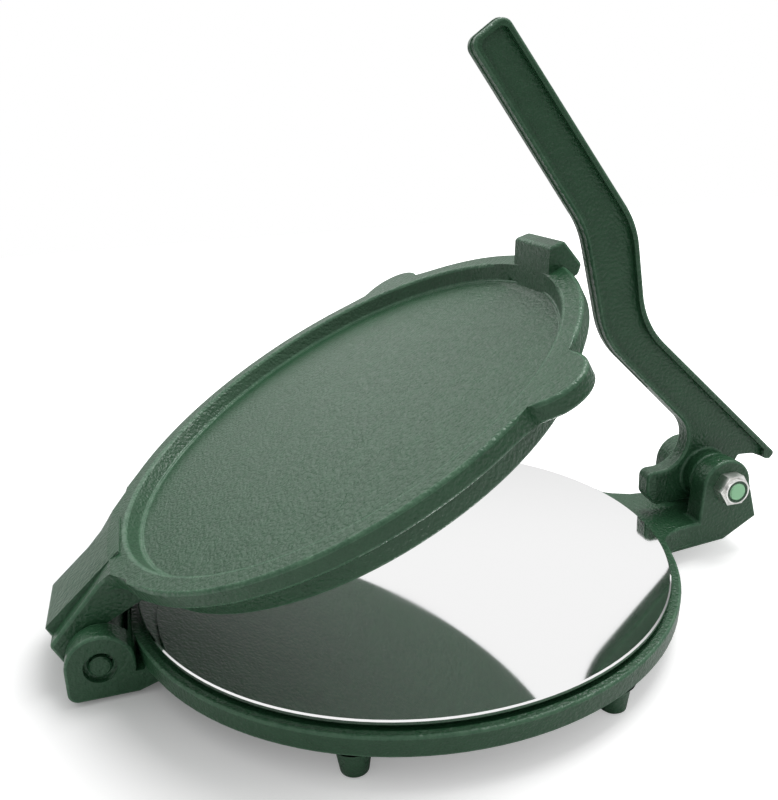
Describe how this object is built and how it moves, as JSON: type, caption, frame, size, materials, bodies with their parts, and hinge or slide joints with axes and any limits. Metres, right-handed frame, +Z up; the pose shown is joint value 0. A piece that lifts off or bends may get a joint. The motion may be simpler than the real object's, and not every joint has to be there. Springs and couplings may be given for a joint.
{
  "type": "tortilla press",
  "caption": "Cast iron press for flatbread: a round base with a polished steel disc, a hinged round upper plate and a cranked lever on a clevis.",
  "frame": {"origin": "on the table, under the middle of the whole press as it stands at rest", "axes": "+X from the plate's hinge to the lever's pivot, +Z up, the front at -Y"},
  "size_m": [0.3281, 0.228, 0.2334],
  "materials": {
    "painted_casting": "dark green paint with a fine grain",
    "polished_steel": "mirror polished",
    "painted_pin": "steel with green paint on its ends",
    "plated_steel": "zinc plated",
    "locking_ring": "moulded"
  },
  "bodies": {
    "base": {"base_plate": "painted_casting", "pressing_disc": "polished_steel", "hinge_pin": "painted_pin", "pivot_bolt": "plated_steel", "lock_nut": "plated_steel", "nut_insert": "locking_ring"},
    "plate": {"upper_plate": "painted_casting"},
    "lever": {"lever": "painted_casting"}
  },
  "joints": [
    {"name": "plate_hinge", "type": "hinge", "parent": "base", "child": "plate", "pos_m": [-0.1448, 0, 0.0145], "axis": [0, -1, 0], "range_deg": [-27, 65]},
    {"name": "lever_pivot", "type": "hinge", "parent": "base", "child": "lever", "pos_m": [0.1272, 0, 0.0345], "axis": [0, 1, 0], "range_deg": [-4, 56]}
  ]
}
